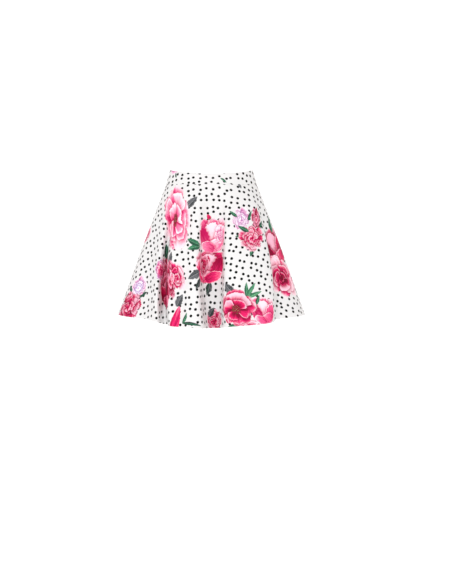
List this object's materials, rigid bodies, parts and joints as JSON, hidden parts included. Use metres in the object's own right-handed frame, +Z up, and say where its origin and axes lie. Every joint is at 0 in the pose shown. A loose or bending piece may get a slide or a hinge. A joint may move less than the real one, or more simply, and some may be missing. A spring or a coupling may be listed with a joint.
{
  "type": "a-line skirt",
  "caption": "Flared A-line skirt with a shaped waistband and a concealed back zip, in white cloth with black dots and pink flowers, hollow as worn.",
  "frame": {"origin": "centre of the waist opening, level with the waistband's top edge at the sides", "axes": "+Z up as worn, -Y to the wearer's front, +X to the wearer's left"},
  "size_m": [0.5509, 0.4138, 0.4619],
  "materials": {
    "print_cloth": "smooth printed cotton sateen: white with black dots and pink and crimson flowers",
    "zip_tape": "plain white woven tape",
    "zip_coil": "white nylon coil",
    "zip_metal": "white enamelled metal"
  },
  "bodies": {
    "skirt": {"waistband_front": "print_cloth", "waistband_back_left": "print_cloth", "waistband_back_right": "print_cloth", "skirt_front": "print_cloth", "skirt_back_left": "print_cloth", "skirt_back_right": "print_cloth", "zip_tape_left": "zip_tape", "zip_tape_right": "zip_tape", "zip_coil": "zip_coil", "zip_slider": "zip_metal"},
    "pull_tab": {"zip_pull": "zip_metal"}
  },
  "joints": [
    {"name": "pull_swing", "type": "hinge", "parent": "skirt", "child": "pull_tab", "pos_m": [0, 0.09939, -0.02137], "axis": [1, 0, 0], "range_deg": [0, 160]}
  ]
}
